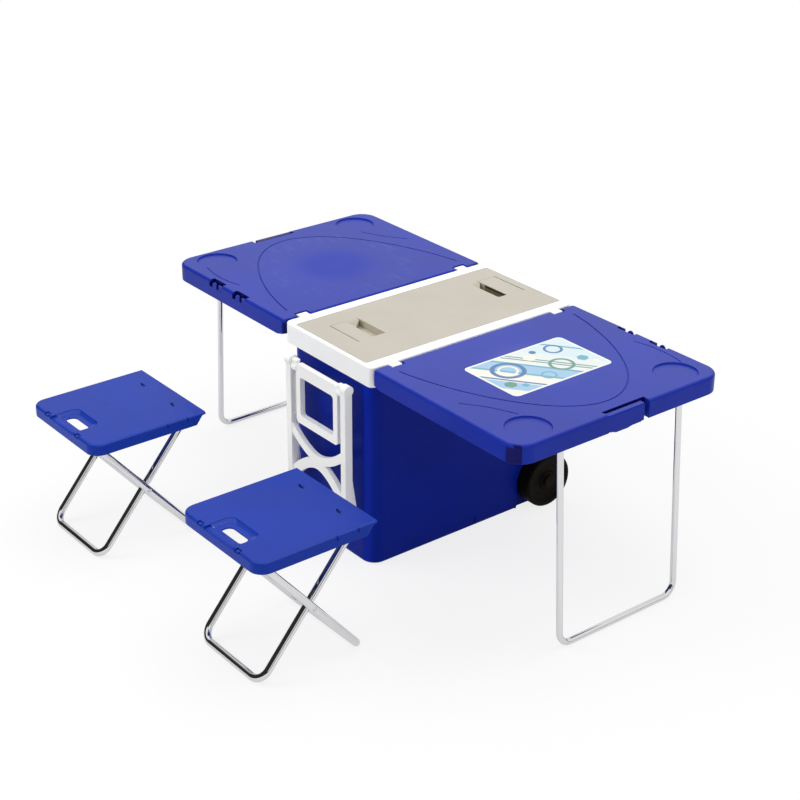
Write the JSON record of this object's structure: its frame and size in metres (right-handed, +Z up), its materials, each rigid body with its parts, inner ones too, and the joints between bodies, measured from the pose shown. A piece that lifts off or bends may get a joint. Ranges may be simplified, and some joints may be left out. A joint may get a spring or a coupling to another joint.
{
  "type": "folding cooler",
  "caption": "Wheeled cool box with a lift-off lid, folding pull handle, two fold-down table leaves on U legs, and a pair of folding stools.",
  "frame": {"origin": "on the floor under the middle of the box", "axes": "+X along the table towards the right leaf, +Y along the box from the handle end to the wheel end, +Z up"},
  "size_m": [1.0946, 0.8875, 0.42],
  "materials": {
    "shell": "satin moulded polyethylene, fine texture",
    "leaf": "satin moulded plastic, fine texture on the top",
    "seat": "satin moulded plastic",
    "trim": "smooth white moulded plastic",
    "lid": "warm pale grey moulded plastic",
    "foam": "rigid insulating foam",
    "chrome": "chromed steel tube",
    "steel": "zinc plated steel",
    "black": "black moulded plastic"
  },
  "bodies": {
    "box": {"box_shell": "shell", "box_foam": "foam", "box_liner": "trim", "box_rim": "trim", "axle_left": "steel", "hub_cap_left": "black", "handle_bracket_left": "trim", "handle_arm_pin_left": "steel", "axle_right": "steel", "hub_cap_right": "black", "handle_bracket_right": "trim", "handle_arm_pin_right": "steel", "hinge_pin_left_near": "steel", "hinge_pin_left_far": "steel", "hinge_pin_right_near": "steel", "hinge_pin_right_far": "steel"},
    "lid": {"lid_top": "lid", "lid_plug": "trim", "lid_foam": "foam"},
    "handle_arm": {"handle_arm": "trim", "handle_grip_pin_left": "steel", "handle_grip_pin_right": "steel"},
    "handle_grip": {"handle_grip": "trim"},
    "wheel_left": {"wheel_left": "black"},
    "wheel_right": {"wheel_right": "black"},
    "leaf_left": {"leaf_left": "leaf", "leg_left_bracket_near": "black", "leg_left_bracket_far": "black", "leg_left_pin_near": "steel", "leg_left_pin_far": "steel"},
    "leg_left": {"leg_left": "chrome"},
    "leaf_right": {"leaf_right": "leaf", "leg_right_bracket_near": "black", "leg_right_bracket_far": "black", "leg_right_pin_near": "steel", "leg_right_pin_far": "steel"},
    "leg_right": {"leg_right": "chrome"},
    "stool_near": {"stool_near_seat": "seat", "stool_near_pivot_rod": "steel"},
    "stool_near_front": {"stool_near_front_frame": "chrome", "stool_near_rivet_left": "steel", "stool_near_rivet_right": "steel"},
    "stool_near_rear": {"stool_near_rear_frame": "chrome", "stool_near_slide_rod": "steel"},
    "stool_far": {"stool_far_seat": "seat", "stool_far_pivot_rod": "steel"},
    "stool_far_front": {"stool_far_front_frame": "chrome", "stool_far_rivet_left": "steel", "stool_far_rivet_right": "steel"},
    "stool_far_rear": {"stool_far_rear_frame": "chrome", "stool_far_slide_rod": "steel"}
  },
  "joints": [
    {"name": "lid_lift", "type": "slide", "parent": "box", "child": "lid", "axis": [0, 0, 1], "range_m": [0, 0.25]},
    {"name": "handle_swing", "type": "hinge", "parent": "box", "child": "handle_arm", "pos_m": [0, -0.2675, 0.072], "axis": [1, 0, 0], "range_deg": [0, 85]},
    {"name": "grip_fold", "type": "hinge", "parent": "handle_arm", "child": "handle_grip", "pos_m": [0, -0.2645, 0.355], "axis": [-1, 0, 0], "range_deg": [0, 180]},
    {"name": "wheel_left_spin", "type": "hinge", "parent": "box", "child": "wheel_left", "pos_m": [-0.1365, 0.188, 0.056], "axis": [1, 0, 0], "continuous": true},
    {"name": "wheel_right_spin", "type": "hinge", "parent": "box", "child": "wheel_right", "pos_m": [0.1365, 0.188, 0.056], "axis": [1, 0, 0], "continuous": true},
    {"name": "leaf_left_fold", "type": "hinge", "parent": "box", "child": "leaf_left", "pos_m": [-0.141, 0, 0.396], "axis": [0, -1, 0], "range_deg": [0, 72]},
    {"name": "leg_left_fold", "type": "hinge", "parent": "leaf_left", "child": "leg_left", "pos_m": [-0.5178, 0, 0.39], "axis": [0, -1, 0], "range_deg": [0, 96]},
    {"name": "leaf_right_fold", "type": "hinge", "parent": "box", "child": "leaf_right", "pos_m": [0.141, 0, 0.396], "axis": [0, 1, 0], "range_deg": [0, 72]},
    {"name": "leg_right_fold", "type": "hinge", "parent": "leaf_right", "child": "leg_right", "pos_m": [0.5178, 0, 0.39], "axis": [0, 1, 0], "range_deg": [0, 96]},
    {"name": "stool_near_lift", "type": "slide", "parent": "box", "child": "stool_near", "axis": [0, 0, 1], "range_m": [0, 0.3]},
    {"name": "stool_near_fold", "type": "hinge", "parent": "stool_near", "child": "stool_near_front", "pos_m": [0.225, -0.418, 0.246], "axis": [1, 0, 0], "range_deg": [0, 32]},
    {"name": "stool_near_cross", "type": "hinge", "parent": "stool_near_front", "child": "stool_near_rear", "pos_m": [0.225, -0.51869, 0.126], "axis": [-1, 0, 0], "range_deg": [0, 64]},
    {"name": "stool_far_lift", "type": "slide", "parent": "box", "child": "stool_far", "axis": [0, 0, 1], "range_m": [0, 0.3]},
    {"name": "stool_far_fold", "type": "hinge", "parent": "stool_far", "child": "stool_far_front", "pos_m": [-0.3, -0.425, 0.246], "axis": [1, 0, 0], "range_deg": [0, 32]},
    {"name": "stool_far_cross", "type": "hinge", "parent": "stool_far_front", "child": "stool_far_rear", "pos_m": [-0.3, -0.52569, 0.126], "axis": [-1, 0, 0], "range_deg": [0, 64]}
  ],
  "couplings": [
    {"joint": "stool_near_cross", "follows": "stool_near_fold", "ratio": 2},
    {"joint": "stool_far_cross", "follows": "stool_far_fold", "ratio": 2}
  ]
}
